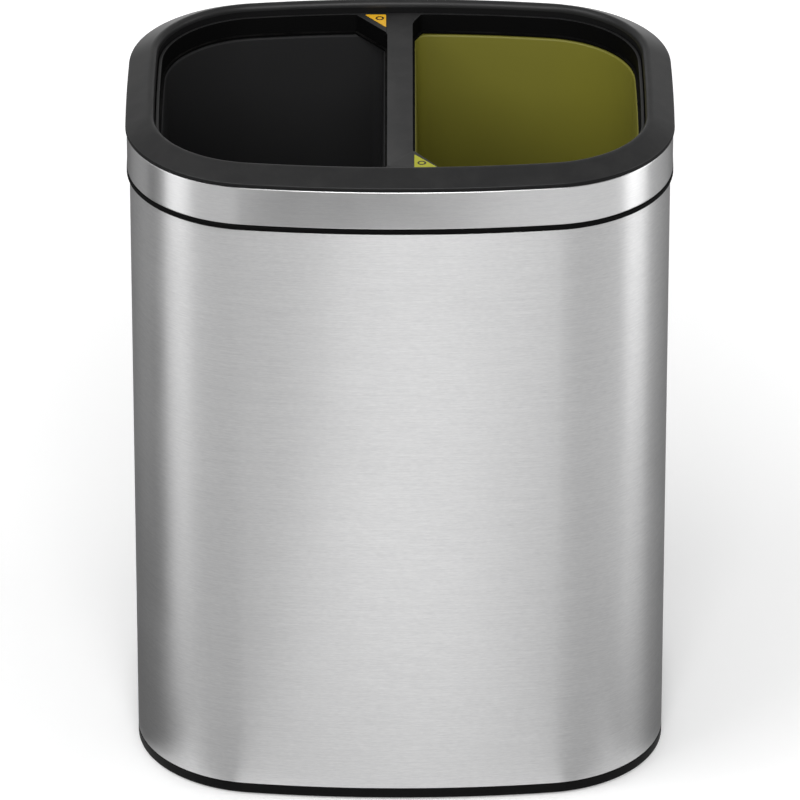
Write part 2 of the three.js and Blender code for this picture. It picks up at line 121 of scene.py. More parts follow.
# name: low corner, high corner, glow
cards = {
    "leftBackCard": ((-0.68, 0.1, 0.0), (-0.66, 1.6, 0.75), 0.46),
    "rightBackCard": ((0.66, 0.1, 0.0), (0.68, 1.6, 0.75), 0.53),
    "backCard": ((-0.64, 1.62, 0.0), (0.64, 1.64, 0.72), 1.2),
    "leftFloorCard": ((-2.6, -0.15, 0.001), (-0.207, 1.6, 0.003), 0.12),
    "rightFloorCard": ((0.207, -0.15, 0.001), (2.6, 1.6, 0.003), 0.18),
    "leftFrontCard": ((-2.6, -2.6, 0.001), (-0.13, -0.175, 0.003), 0.65),
    "rightFrontCard": ((0.13, -2.6, 0.001), (2.6, -0.175, 0.003), 0.82),
    "leftNearCard": ((-0.42, -0.42, 0.004), (-0.13, -0.15, 0.005), 0.46),
    "rightNearCard": ((0.13, -0.42, 0.004), (0.42, -0.15, 0.005), 0.55),
    "nearFrontCard": ((-0.13, -0.4, 0.004), (0.13, -0.165, 0.005), 0.72),
    "farFrontCard": ((-0.42, -2.6, 0.004), (0.2, -0.9, 0.005), 0.02),
}
paperLook = {"Roughness": 0.9, "Emission Color": (1, 1, 1, 1)}


def placeSoftbox(name, place, aim, width, height, power):
    lamp = bpy.data.lights.new(name, "AREA")
    lamp.shape = "RECTANGLE"
    lamp.size = width
    lamp.size_y = height
    lamp.energy = power
    stand = bpy.data.objects.new(name, lamp)
    stand.location = place
    stand.rotation_euler = (Vector(aim) - Vector(place)).to_track_quat("-Z", "Y").to_euler()
    stand.visible_camera = False
    bpy.context.scene.collection.objects.link(stand)


def placeCard(name, low, high, glow):  # a card that only reflections show, to give the steel its shades
    bm = bmesh.new()
    addBlock(bm, low, high)
    card = stageMesh(bm, name)
    paper, _, shader = startFinish(name, paperLook)
    shader.inputs["Base Color"].default_value = (0, 0, 0, 1)
    shader.inputs["Emission Strength"].default_value = glow
    card.data.materials.append(paper)
    card.visible_camera = False
    card.visible_diffuse = False
    card.visible_shadow = False


def stageMesh(bm, name):
    mesh = bpy.data.meshes.new(name)
    bm.to_mesh(mesh)
    bm.free()
    thing = bpy.data.objects.new(name, mesh)
    bpy.context.scene.collection.objects.link(thing)
    return thing


def makePaper():  # plain pale floor that the camera and reflections see as white
    paper, tree, shader = startFinish("studioPaper", paperLook)
    shader.inputs["Base Color"].default_value = studio["floorColour"]
    place = tree.nodes.new("ShaderNodeTexCoord")
    away = tree.nodes.new("ShaderNodeVectorMath")
    away.operation = "LENGTH"
    tree.links.new(place.outputs["Object"], away.inputs[0])
    near, far = studio["glowNear"], studio["glowFar"]
    glow = addRange(tree, away.outputs["Value"], near[0], far[0], near[1], far[1])
    path = tree.nodes.new("ShaderNodeLightPath")
    seen = addMath(tree, "MAXIMUM", path.outputs["Is Camera Ray"], path.outputs["Is Glossy Ray"])
    seen = addMath(tree, "MAXIMUM", seen, path.outputs["Is Transmission Ray"])
    tree.links.new(addMath(tree, "MULTIPLY", seen, glow), shader.inputs["Emission Strength"])
    return paper


def setStudio():
    scene = bpy.context.scene
    scene.view_settings.view_transform = "Standard"
    world = bpy.data.worlds.new("studioWorld")
    world.use_nodes = True
    scene.world = world
    level = studio["worldLevel"]
    world.node_tree.nodes["Background"].inputs["Color"].default_value = (level, level, level, 1)
    for name, box in softboxes.items():
        placeSoftbox(name, *box)
    for name, card in cards.items():
        placeCard(name, *card)
    bm = bmesh.new()
    bmesh.ops.create_grid(bm, x_segments=1, y_segments=1, size=studio["floorSize"] / 2)
    stageMesh(bm, "studioFloor").data.materials.append(makePaper())


def newEffect(name, inputs, outputs):
    effect = bpy.data.node_groups.new(name, "ShaderNodeTree")
    for label, start in inputs.items():
        socket = effect.interface.new_socket(name=label, in_out="INPUT", socket_type="NodeSocketFloat")
        socket.default_value = start
    for label in outputs:
        effect.interface.new_socket(name=label, in_out="OUTPUT", socket_type="NodeSocketFloat")
    return effect, effect.nodes.new("NodeGroupInput"), effect.nodes.new("NodeGroupOutput")


def addMath(tree, operation, first, second):
    node = tree.nodes.new("ShaderNodeMath")
    node.operation = operation
    for socket, value in zip(node.inputs, (first, second)):
        if isinstance(value, float):
            socket.default_value = value
        else:
            tree.links.new(value, socket)
    return node.outputs[0]


def addRange(tree, value, low, high, outLow=0.0, outHigh=1.0):
    node = tree.nodes.new("ShaderNodeMapRange")
    tree.links.new(value, node.inputs["Value"])
    for label, number in (("From Min", low), ("From Max", high), ("To Min", outLow), ("To Max", outHigh)):
        node.inputs[label].default_value = number
    return node.outputs["Result"]


def addNoise(tree, scale, detail, roughness=0.5, stretch=None):
    place = tree.nodes.new("ShaderNodeTexCoord")
    noise = tree.nodes.new("ShaderNodeTexNoise")
    noise.inputs["Detail"].default_value = detail
    noise.inputs["Roughness"].default_value = roughness
    if isinstance(scale, float):
        noise.inputs["Scale"].default_value = scale
    else:
        tree.links.new(scale, noise.inputs["Scale"])
    source = place.outputs["Object"]
    if stretch:
        mapping = tree.nodes.new("ShaderNodeMapping")
        mapping.inputs["Scale"].default_value = stretch
        tree.links.new(source, mapping.inputs["Vector"])
        source = mapping.outputs["Vector"]
    tree.links.new(source, noise.inputs["Vector"])
    return noise.outputs["Fac"]


def makeBrushGrain():  # level scratches left by the belt that brushes the sheet
    effect, given, made = newEffect("brushGrain", {"Scale": 1.0}, ("Streaks", "Height"))
    scale = given.outputs["Scale"]
    fine = addNoise(effect, scale, detail=2.0, roughness=0.6, stretch=(200, 200, 1500))
    long = addNoise(effect, scale, detail=3.0, roughness=0.6, stretch=(30, 30, 900))
    fineShare = 0.6
    finePart = addMath(effect, "MULTIPLY", fine, fineShare)
    longPart = addMath(effect, "MULTIPLY", long, 1 - fineShare)
    both = addMath(effect, "ADD", finePart, longPart)
    effect.links.new(addRange(effect, both, low=0.3, high=0.7), made.inputs["Streaks"])
    effect.links.new(fine, made.inputs["Height"])
    return effect


def makeMouldTexture():  # fine pebble of a mould, and a cloudy change of shade
    effect, given, made = newEffect("mouldTexture", {"Scale": 1400.0}, ("Pebble", "Cloud"))
    pebble = addNoise(effect, given.outputs["Scale"], detail=2.0, roughness=0.6)
    effect.links.new(pebble, made.inputs["Pebble"])
    effect.links.new(addNoise(effect, 14.0, detail=3.0), made.inputs["Cloud"])
    return effect


def makeEdgeRub():  # corners rubbed brighter by handling
    effect, given, made = newEffect("edgeRub", {"Width": 0.001}, ("Mask",))
    rounded = effect.nodes.new("ShaderNodeBevel")
    rounded.samples = 4
    effect.links.new(given.outputs["Width"], rounded.inputs["Radius"])
    geometry = effect.nodes.new("ShaderNodeNewGeometry")
    dot = effect.nodes.new("ShaderNodeVectorMath")
    dot.operation = "DOT_PRODUCT"
    effect.links.new(rounded.outputs["Normal"], dot.inputs[0])
    effect.links.new(geometry.outputs["Normal"], dot.inputs[1])
    bare = addRange(effect, dot.outputs["Value"], low=0.995, high=0.9)
    patches = addRange(effect, addNoise(effect, 45.0, detail=3.0), low=0.35, high=0.65)
    effect.links.new(addMath(effect, "MULTIPLY", bare, patches), made.inputs["Mask"])
    return effect


def makeDust():  # thin dust on what faces up
    effect, given, made = newEffect("settledDust", {"Amount": 0.1}, ("Mask",))
    geometry = effect.nodes.new("ShaderNodeNewGeometry")
    split = effect.nodes.new("ShaderNodeSeparateXYZ")
    effect.links.new(geometry.outputs["Normal"], split.inputs[0])
    upward = addRange(effect, split.outputs["Z"], low=0.6, high=1.0)
    drift = addRange(effect, addNoise(effect, 60.0, detail=5.0, roughness=0.7), low=0.4, high=0.75)
    settled = addMath(effect, "MULTIPLY", upward, drift)
    amount = addMath(effect, "MULTIPLY", settled, given.outputs["Amount"])
    effect.links.new(amount, made.inputs["Mask"])
    return effect


def makeSmudges():  # faint hand marks
    effect, given, made = newEffect("handSmudges", {"Scale": 9.0}, ("Mask",))
    marks = addNoise(effect, given.outputs["Scale"], detail=4.0, roughness=0.6)
    effect.links.new(addRange(effect, marks, low=0.42, high=0.7), made.inputs["Mask"])
    return effect


effects = {
    "grain": makeBrushGrain(),
    "mould": makeMouldTexture(),
    "rub": makeEdgeRub(),
    "dust": makeDust(),
    "smudge": makeSmudges(),
}


def startFinish(name, settings):
    finish = bpy.data.materials.new(name)
    finish.use_nodes = True
    shader = finish.node_tree.nodes["Principled BSDF"]
    for label, value in settings.items():
        shader.inputs[label].default_value = value
    return finish, finish.node_tree, shader


def addEffect(tree, effect, **values):
    node = tree.nodes.new("ShaderNodeGroup")
    node.node_tree = effects[effect]
    for label, value in values.items():
        node.inputs[label].default_value = value
    return node.outputs


def addMix(tree, mask, first, second):
    mix = tree.nodes.new("ShaderNodeMix")
    mix.data_type = "RGBA"
    tree.links.new(mask, mix.inputs["Factor"])
    for label, value in (("A", first), ("B", second)):
        socket = [s for s in mix.inputs if s.name == label and s.type == "RGBA"][0]
        if isinstance(value, tuple):
            socket.default_value = value
        else:
            tree.links.new(value, socket)
    return [s for s in mix.outputs if s.type == "RGBA"][0]


def addBump(tree, shader, height, strength, distance=0.0001):
    bump = tree.nodes.new("ShaderNodeBump")
    bump.inputs["Strength"].default_value = strength
    bump.inputs["Distance"].default_value = distance
    tree.links.new(height, bump.inputs["Height"])
    tree.links.new(bump.outputs["Normal"], shader.inputs["Normal"])


def setShade(tree, shader, colour, mask, low, high, roughness):  # roughness follows the mask
    tree.links.new(colour, shader.inputs["Base Color"])
    tree.links.new(addRange(tree, mask, low, high, *roughness), shader.inputs["Roughness"])


steelFinishes = {
    # name: colour, change of colour, roughness, spread along the grain, bump
    "bodySteel": (0.62, 0.06, 0.42, 0.78, 0.1),
    "bandSteel": (0.63, 0.04, 0.3, 0.3, 0.08),
}
# what both steels share
steelLook = {"edge": (0.5, 0.5, 0.5, 1), "grainTurn": 0.25, "blue": 1.01, "smudge": 0.05}


def makeSteel(name, middle, change, roughness, spread, bump):
    settings = {"Metallic": 1.0, "Anisotropic": spread, "Anisotropic Rotation": steelLook["grainTurn"]}
    finish, tree, shader = startFinish(name, settings)
    shader.inputs["Specular Tint"].default_value = steelLook["edge"]
    grain = addEffect(tree, "grain")
    smudge = addEffect(tree, "smudge")
    dark = middle - change
    light = middle + change
    darkest = (dark, dark, dark * steelLook["blue"], 1)
    colour = addMix(tree, grain["Streaks"], darkest, (light, light, light, 1))
    setShade(tree, shader, colour, smudge["Mask"], 0.0, 1.0, (roughness, roughness + steelLook["smudge"]))
    tangent = tree.nodes.new("ShaderNodeTangent")
    tangent.direction_type = "RADIAL"
    tangent.axis = "Z"
    tree.links.new(tangent.outputs["Tangent"], shader.inputs["Tangent"])
    addBump(tree, shader, grain["Height"], bump)
    return finish


plasticFinishes = {
    # name: colour, brightness where rubbed, roughness, gloss, bump
    "rimPlastic": (0.012, 0.03, 0.4, 0.36, 0.12),
    "framePlastic": (0.014, 0.045, 0.42, 0.4, 0.12),
    # lipPaintedShade: a darker copy of the rim plastic, painted shade on the rim's turned-under lip
    "lipPaintedShade": (0.0065, 0.02, 0.5, 0.1, 0.12),
    # skirtPaintedShade: near black, painted shade on the frame's skirts and on the collar in the gap under
    # the band
    "skirtPaintedShade": (0.0012, 0.004, 0.6, 0.06, 0.1),
    "blackPlastic": (0.0026, 0.008, 0.5, 0.07, 0.2),
    "charcoalPlastic": (0.017, 0.018, 0.55, 0.15, 0.15),
    "olivePlastic": ((0.178, 0.167, 0.022), 0.22, 0.45, 0.4, 0.12),
    "footRubber": (0.015, 0.04, 0.75, 0.3, 0.4),
}
# what all the plastics share
plasticLook = {
    "blue": 1.03,
    "cloud": 1.15,
    "rubWidth": 0.0008,
    "dust": 0.03,
    "dustColour": (0.35, 0.34, 0.32, 1),
    "smudge": 0.07,
}


def makePlastic(name, plain, rub, roughness, gloss, bump):
    finish, tree, shader = startFinish(name, {"Specular IOR Level": gloss})
    mould = addEffect(tree, "mould")
    if isinstance(plain, float):
        plain = (plain, plain, plain * plasticLook["blue"])
    cloudy = [part * plasticLook["cloud"] for part in plain]
    rubbed = [part * rub / max(plain) for part in plain]
    colour = addMix(tree, mould["Cloud"], (*plain, 1), (*cloudy, 1))
    edges = addEffect(tree, "rub", Width=plasticLook["rubWidth"])
    colour = addMix(tree, edges["Mask"], colour, (*rubbed, 1))
    dust = addEffect(tree, "dust", Amount=plasticLook["dust"])
    colour = addMix(tree, dust["Mask"], colour, plasticLook["dustColour"])
    smudge = addEffect(tree, "smudge")
    setShade(tree, shader, colour, smudge["Mask"], 0.0, 1.0, (roughness, roughness + plasticLook["smudge"]))
    addBump(tree, shader, mould["Pebble"], bump)
    return finish


zinc = {
    "pebble": 500.0,
    "dark": (0.46, 0.47, 0.49, 1),
    "light": (0.6, 0.61, 0.62, 1),
    "roughness": (0.28, 0.4),
}


def makeZinc():
    finish, tree, shader = startFinish("zincPlate", {"Metallic": 1.0})
    mould = addEffect(tree, "mould", Scale=zinc["pebble"])
    colour = addMix(tree, mould["Cloud"], zinc["dark"], zinc["light"])
    setShade(tree, shader, colour, mould["Pebble"], 0.3, 0.7, zinc["roughness"])
    return finish


film = {
    "coat": {"Coat Weight": 0.1, "Coat Roughness": 0.2},
    "pebble": 800.0,
    "rubWidth": 0.0005,
    "roughness": (0.3, 0.4),
}
# name: colour, and the same faded
filmFinishes = {
    "amberFilm": ((0.86, 0.45, 0.01), (0.88, 0.5, 0.03)),
    "amberEdge": ((0.86, 0.66, 0.2), (0.88, 0.7, 0.26)),
    "limeFilm": ((0.4, 0.4, 0.004), (0.45, 0.45, 0.015)),
    "limeEdge": ((0.55, 0.58, 0.2), (0.6, 0.63, 0.25)),
    "labelInk": ((0.014, 0.008, 0.003), (0.02, 0.012, 0.006)),
}


def makeFilm(name, colour, faded):  # printed film of a label
    finish, tree, shader = startFinish(name, film["coat"])
    mould = addEffect(tree, "mould", Scale=film["pebble"])
    shade = addMix(tree, mould["Cloud"], (*colour, 1), (*faded, 1))
    edges = addEffect(tree, "rub", Width=film["rubWidth"])
    shade = addMix(tree, edges["Mask"], shade, (*faded, 1))
    setShade(tree, shader, shade, mould["Pebble"], 0.3, 0.7, film["roughness"])
    return finish


finishes = {name: makeSteel(name, *values) for name, values in steelFinishes.items()}
finishes.update({name: makePlastic(name, *values) for name, values in plasticFinishes.items()})
finishes["zincPlate"] = makeZinc()
finishes.update({name: makeFilm(name, *colours) for name, colours in filmFinishes.items()})
print("finishes made")

mergeGap = 0.000002  # verts closer than this become one
mirrorGap = 0.000001  # the same across a mirror
cutGap = 0.0000005  # verts closer than this to a cut lie on it
levelGap = 0.00001  # heights closer than this are one level


def vertsOf(geom):
    return [part for part in geom if isinstance(part, bmesh.types.BMVert)]


def faceOut(bm):
    bmesh.ops.recalc_face_normals(bm, faces=bm.faces[:])


def drawWire(bm, places, closed):
    verts = [bm.verts.new(place) for place in places]
    ends = verts[1:] + verts[:1] if closed else verts[1:]
    edges = [bm.edges.new(pair) for pair in zip(verts, ends)]
    return verts, edges


def drawSection(bm, points, closed, atSide=False):  # points are (inset, height, corner round)
    if atSide:
        places = [(plan["halfWidth"] - point[0], 0, point[1]) for point in points]
    else:
        places = [(0, plan["halfDepth"] - point[0], point[1]) for point in points]
    verts = drawWire(bm, places, closed)[0]
    for vert, point in zip(verts, points):
        if len(point) > 2:
            roundCorner(bm, vert, point[2])
    holdEnds(bm)


def roundOff(bm, geom, width, segments, affect="EDGES", clamp=False):
    shape = {"segments": segments, "profile": 0.5, "material": -1, "clamp_overlap": clamp}
    bmesh.ops.bevel(bm, geom=geom, offset=width, affect=affect, **shape)


def roundCorner(bm, vert, radius, segments=6):
    roundOff(bm, [vert], radius, segments, affect="VERTICES")


def holdEnds(bm, reach=0.0006, longest=0.003):  # keeps long flats flat up to their rounded ends
    for edge in bm.edges[:]:
        length = edge.calc_length()
        if length > longest:
            far = bmesh.utils.edge_split(edge, edge.verts[0], reach / length)[0]
            near, rest = sorted((edge, far), key=lambda part: part.calc_length())
            shared = [vert for vert in rest.verts if vert in near.verts][0]
            bmesh.utils.edge_split(rest, rest.other_vert(shared), reach / rest.calc_length())


def spinOn(bm, geom, centre, angle, steps):
    turned = bmesh.ops.spin(bm, geom=geom, cent=centre, axis=(0, 0, 1), angle=angle, steps=steps)
    return turned["geom_last"]


def mirrorAcross(bm, axes):
    for axis in axes:
        everything = bm.verts[:] + bm.edges[:] + bm.faces[:]
        bmesh.ops.mirror(bm, geom=everything, matrix=Matrix.Identity(4), merge_dist=mirrorGap, axis=axis)
    bmesh.ops.remove_doubles(bm, verts=bm.verts[:], dist=mergeGap)
    faceOut(bm)


def carryRound(bm):  # a section at the middle of the back, carried round the whole outline
    geom = bm.verts[:] + bm.edges[:]
    geom = spinOn(bm, geom, faceCentre, faceAngle - quarterTurn, plan["faceSteps"])
    geom = spinOn(bm, geom, cornerCentre, sideAngle - faceAngle, plan["cornerSteps"])
    spinOn(bm, geom, sideCentre, -sideAngle, plan["sideSteps"])
    mirrorAcross(bm, "XY")


def carryFromSide(bm, endAngle):  # a section at the middle of a side, carried to a place on the back
    geom = bm.verts[:] + bm.edges[:]
    geom = spinOn(bm, geom, sideCentre, sideAngle, plan["sideSteps"])
    geom = spinOn(bm, geom, cornerCentre, faceAngle - sideAngle, plan["cornerSteps"])
    return spinOn(bm, geom, faceCentre, endAngle - faceAngle, plan["faceSteps"])


def carryHalf(bm, lineX, inset, fillet):  # a section at the middle of a side, carried round one half
    filletX = lineX + fillet
    filletY = faceAt(inset + fillet, filletX)
    filletCentre = Vector((filletX, filletY, 0))
    endAngle = headingOf(filletCentre - faceCentre)
    geom = carryFromSide(bm, endAngle)
    geom = spinOn(bm, geom, filletCentre, math.pi - endAngle, plan["filletSteps"])
    edges = [part for part in geom if isinstance(part, bmesh.types.BMEdge)]
    straight = bmesh.ops.extrude_edge_only(bm, edges=edges)["geom"]
    bmesh.ops.translate(bm, verts=vertsOf(straight), vec=(0, -filletY, 0))
    mirrorAcross(bm, "Y")


def halfTurn(bm):
    bmesh.ops.rotate(bm, cent=(0, 0, 0), matrix=Matrix.Rotation(math.pi, 3, "Z"), verts=bm.verts[:])


def closeEnds(bm):  # fills each level loop of open edges, from the lowest up
    loops = {}
    for edge in bm.edges:
        if edge.is_boundary:
            loops.setdefault(round(edge.verts[0].co.z, 5), []).append(edge)
    for height in sorted(loops):
        bmesh.ops.contextual_create(bm, geom=loops[height])
    faceOut(bm)


def turnPart(bm, points, place, steps, closed=False):  # (radius, height) points spun about an upright
    start = len(bm.verts)
    places = [(place[0] + radius, place[1], height) for radius, height in points]
    verts, edges = drawWire(bm, places, closed)
    turn = {"axis": (0, 0, 1), "angle": 2 * math.pi, "steps": steps, "use_merge": True}
    bmesh.ops.spin(bm, geom=verts + edges, cent=(*place, 0), **turn)
    bmesh.ops.remove_doubles(bm, verts=list(bm.verts)[start:], dist=mergeGap)


def addBlock(bm, low, high, bevel=0):
    made = bmesh.ops.create_cube(bm, size=1)["verts"]
    size = [b - a for a, b in zip(low, high)]
    middle = [(a + b) / 2 for a, b in zip(low, high)]
    bmesh.ops.scale(bm, vec=size, verts=made)
    bmesh.ops.translate(bm, vec=middle, verts=made)
    if bevel:
        roundOff(bm, list({edge for vert in made for edge in vert.link_edges}), bevel, segments=2)


def bevelSharp(bm, width, segments, fromAngle):
    bmesh.ops.dissolve_degenerate(bm, dist=cutGap, edges=bm.edges[:])
    inside = [edge for edge in bm.edges if len(edge.link_faces) == 2]
    sharp = [edge for edge in inside if edge.calc_face_angle(0) > math.radians(fromAngle)]
    roundOff(bm, sharp, width, segments, clamp=True)


def addRod(bm, steps, radii, length, place):  # a round bar or cone along Y, by its middle
    made = bmesh.ops.create_cone(
        bm, segments=steps, radius1=radii[0], radius2=radii[1], depth=length, cap_ends=True
    )["verts"]
    bmesh.ops.rotate(bm, cent=(0, 0, 0), matrix=Matrix.Rotation(-quarterTurn, 3, "X"), verts=made)
    bmesh.ops.translate(bm, vec=place, verts=made)


def cutFaces(bm, faces, place, normal, clear=False):  # cuts these faces alone along a plane
    edges = {edge for face in faces for edge in face.edges}
    verts = {vert for face in faces for vert in face.verts}
    geom = faces + list(edges) + list(verts)
    plane = {"plane_co": place, "plane_no": normal, "clear_outer": clear}
    bmesh.ops.bisect_plane(bm, geom=geom, dist=cutGap, **plane)


def levelFaces(bm, height):
    return [face for face in bm.faces if abs(face.calc_center_median().z - height) < levelGap]


def paintShadeBelow(bm, height):  # gives faces below a height the second look, a darker finish that paints shade
    for face in bm.faces:
        if face.calc_center_median().z < height:
            face.material_index = 1


def pullFaces(bm, faces, height):  # moves faces up or down, walls the way and returns the moved faces
    pulled = bmesh.ops.extrude_face_region(bm, geom=faces)["geom"]
    bmesh.ops.translate(bm, vec=(0, 0, height), verts=vertsOf(pulled))
    bmesh.ops.delete(bm, geom=[face for face in faces if face.is_valid], context="FACES_ONLY")
    return [part for part in pulled if isinstance(part, bmesh.types.BMFace)]


def takeIn(bm, part):  # adds a second bmesh to the first
    mesh = bpy.data.meshes.new("part")
    part.to_mesh(mesh)
    part.free()
    bm.from_mesh(mesh)
    bpy.data.meshes.remove(mesh)


def finishPiece(bm, name, looks, body, nodes=(), sharp=40):
    mesh = bpy.data.meshes.new(name)
    bm.to_mesh(mesh)
    bm.free()
    mesh.shade_smooth()
    mesh.set_sharp_from_angle(angle=math.radians(sharp))
    for look in looks:
        mesh.materials.append(finishes[look])
    piece = bpy.data.objects.new(name, mesh)
    bpy.context.scene.collection.objects.link(piece)
    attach(piece, body)
    if nodes:
        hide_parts(*nodes)


def ringPiece(name, points, look, body, node):
    bm = bmesh.new()
    drawSection(bm, points, closed=True)
    carryRound(bm)
    finishPiece(bm, name, [look], body, [node])


placeCamera()
setStudio()
print("camera, lamps and floor placed")

# steel body
shell = {
    "sheet": 0.0008,
    "hem": 0.009,
    "hemRound": 0.00075,
    "foldRound": 0.0003,
    "seamHalf": 0.006,
    "seamThick": 0.00035,
    "weldRadii": (0.0019, 0.00152),
    "weldSteps": 20,
    "weldPitch": 0.024,
}
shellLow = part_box("body_shell")[0].z
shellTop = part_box("body_shell")[1].z


def makeShell():
    sheet = shell["sheet"]
    points = [
        (0, shellLow, shell["foldRound"]),
        (0, shellTop, shell["hemRound"]),
        (2 * sheet, shellTop, shell["hemRound"]),
        (2 * sheet, shellTop - shell["hem"]),
        (sheet, shellTop - shell["hem"]),
        (sheet, shellLow),
    ]
    ringPiece("bodyWrap", points, "bodySteel", "bin_body", "body_shell")


def makeSeam():  # the lap up the middle of the back, with its row of spot welds
    bm = bmesh.new()
    back = plan["halfDepth"]
    half = shell["seamHalf"]
    thick = shell["seamThick"]
    edge = faceAt(0, half)
    top = shellTop - shell["hem"] / 4
    addBlock(bm, (-half, edge - thick, shellLow), (half, back + thick, top), bevel=thick / 2)
    count = int((top - shellLow) / shell["weldPitch"])
    for index in range(count):
        height = shellLow + (index + 0.5) * (top - shellLow) / count
        addRod(bm, shell["weldSteps"], shell["weldRadii"], thick, (0, back + thick, height))
    finishPiece(bm, "backSeam", ["bodySteel"], "bin_body")


makeShell()
makeSeam()
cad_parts["seam_strip"].data.materials.clear()
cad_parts["seam_strip"].data.materials.append(finishes["bodySteel"])
print("steel body made")

# base pan, feet and their screws
pan = {
    "lip": 0.0012,
    "bandTop": 0.0096,
    "upstandOuter": 0.0011,
    "upstandInner": 0.0031,
    "upstandTop": 0.0329,
    "floorLow": 0.006,
    "floorTop": 0.0085,
    "floorVerts": 50,  # only the floor has faces with more verts
    "humpHalf": 0.0174,
    "humpHalfLength": 0.09,
    "humpTop": 0.0245,
    "humpWall": 0.002,
    "bottomRound": 0.0014,
    "topRound": 0.0005,
    "boss": [(0.0045, 0.0085), (0.0045, 0.0175), (0.004, 0.018), (0, 0.018)],  # radius, height
    "bossSteps": 24,
    "ribThick": 0.0014,
    "ribRise": 0.001,
    "ribSink": 0.0005,
    "ribPitch": 0.045,
    "ribPlaces": (-3, -2, -1, 1, 2, 3),
    "cornerRibReach": 0.088,
    "crossRibPlaces": (-0.07, 0.0, 0.07),
    "crossRibInset": 0.0065,
}
corners = {
    "front_left": "FrontLeft",
    "front_right": "FrontRight",
    "back_right": "BackRight",
    "back_left": "BackLeft",
}


def nodeMiddle(node):
    low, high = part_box(node)
    return (low.x + high.x) / 2, (low.y + high.y) / 2


def floorFaces(bm):  # the floor's largest faces, the lowest first
    large = [face for face in bm.faces if len(face.verts) > pan["floorVerts"]]
    return sorted(large, key=lambda face: face.calc_center_median().z)


def cutRectangle(bm, face, halfX, halfY):  # cuts a rectangle out of a level face and returns it
    height = face.calc_center_median().z
    for x, y in ((1, 0), (-1, 0), (0, 1), (0, -1)):
        cutFaces(bm, levelFaces(bm, height), (x * halfX, y * halfY, height), (x, y, 0))
    return min(levelFaces(bm, height), key=lambda part: part.calc_center_median().xy.length)


def makeBasePan():
    bm = bmesh.new()
    points = [
        (pan["upstandInner"], pan["floorTop"]),
        (pan["upstandInner"], pan["upstandTop"], pan["topRound"]),
        (pan["upstandOuter"], pan["upstandTop"], pan["topRound"]),
        (pan["upstandOuter"], pan["bandTop"]),
        (0, pan["bandTop"], pan["topRound"]),
        (0, pan["lip"], pan["bottomRound"]),
        (pan["upstandInner"], pan["lip"], pan["topRound"]),
        (pan["upstandInner"], pan["floorLow"]),
    ]
    drawSection(bm, points, closed=False)
    carryRound(bm)
    closeEnds(bm)
    hump = cutRectangle(bm, floorFaces(bm)[-1], pan["humpHalf"], pan["humpHalfLength"])
    raised = bmesh.ops.extrude_discrete_faces(bm, faces=[hump])["faces"]
    pullFaces(bm, raised, pan["humpTop"] - pan["floorTop"])
    halfX = pan["humpHalf"] - pan["humpWall"]
    halfY = pan["humpHalfLength"] - pan["humpWall"]
    hollow = cutRectangle(bm, floorFaces(bm)[0], halfX, halfY)
    pullFaces(bm, [hollow], pan["humpTop"] - pan["humpWall"] - pan["floorLow"])
    for corner in corners:
        turnPart(bm, pan["boss"], nodeMiddle("foot_screw_" + corner), pan["bossSteps"])
    faceOut(bm)
    addPanRibs(bm)
    finishPiece(bm, "basePan", ["blackPlastic"], "bin_body", ["base_pan"])


def addPanRibs(bm):  # stiffening ribs across the pan's underside
    low = pan["lip"] + pan["ribRise"]
    high = pan["floorLow"] + pan["ribSink"]
    half = pan["ribThick"] / 2
    for place in pan["ribPlaces"]:
        x = place * pan["ribPitch"]
        reach = faceAt(pan["upstandInner"], x) if abs(x) < cornerCentre.x else pan["cornerRibReach"]
        addBlock(bm, (x - half, -reach, low), (x + half, reach, high))
    for y in pan["crossRibPlaces"]:
        for side in (-1, 1):
            ends = (side * pan["humpHalf"], side * (plan["halfWidth"] - pan["crossRibInset"]))
            addBlock(bm, (min(ends), y - half, low), (max(ends), y + half, high))


foot = {
    "bore": 0.0043,
    "boreDeep": 0.0024,
    "screwHole": 0.0018,
    "edge": 0.0012,
    "edgeStep": 0.0004,
    "draft": 0.0003,
    "footDraft": 0.0006,
    "groove": 0.0006,
    "grooveWidth": 0.0008,
    "grooveSlope": 0.0002,
    "groovePitch": 0.0022,
    "firstGroove": 0.0025,
    "lastGroove": 0.002,
    "steps": 40,
}


def makeFoot(node, name):
    low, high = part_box(node)
    radius = (high.x - low.x) / 2
    boreTop = low.z + foot["boreDeep"]
    points = [
        (foot["bore"], low.z),
        (foot["bore"], boreTop),
        (foot["screwHole"], boreTop),
        (foot["screwHole"], high.z),
        (radius - foot["edge"], high.z),
        (radius - foot["draft"], high.z - foot["edgeStep"]),
        (radius - foot["draft"], low.z + foot["edge"]),
        (radius - foot["footDraft"], low.z + foot["edgeStep"]),
        (radius - foot["edge"], low.z),
    ]
    grip = radius - foot["firstGroove"]
    while grip > foot["bore"] + foot["lastGroove"]:
        points += [
            (grip, low.z),
            (grip - foot["grooveSlope"], low.z + foot["groove"]),
            (grip - foot["grooveWidth"], low.z + foot["groove"]),
            (grip - foot["grooveWidth"] - foot["grooveSlope"], low.z),
        ]
        grip -= foot["groovePitch"]
    bm = bmesh.new()
    turnPart(bm, points, nodeMiddle(node), foot["steps"], closed=True)
    faceOut(bm)
    finishPiece(bm, name, ["footRubber"], "bin_body", [node], sharp=50)


screw = {
    # shares of the head's radius and height
    "head": ((0.62, 0), (0.86, 0.18), (1, 0.6), (1, 1)),
    "footHead": (0.0037, 0.0015),
    "shank": 0.0015,
    "tip": 0.001,
    "tipShare": 0.4,
    "socketHalf": 0.0004,
    "socketReach": 0.0017,
    "socketDeep": 0.0009,
    "steps": 28,
}


def armPlace(coordinate):  # moves a line of a 3 by 3 grid to the cross socket's wall or end
    reach = screw["socketReach"] if abs(coordinate) > 0.5 else screw["socketHalf"]
    return math.copysign(reach, coordinate)


def betweenArms(face):
    middle = face.calc_center_median()
    return min(abs(middle.x), abs(middle.y)) > screw["socketHalf"]


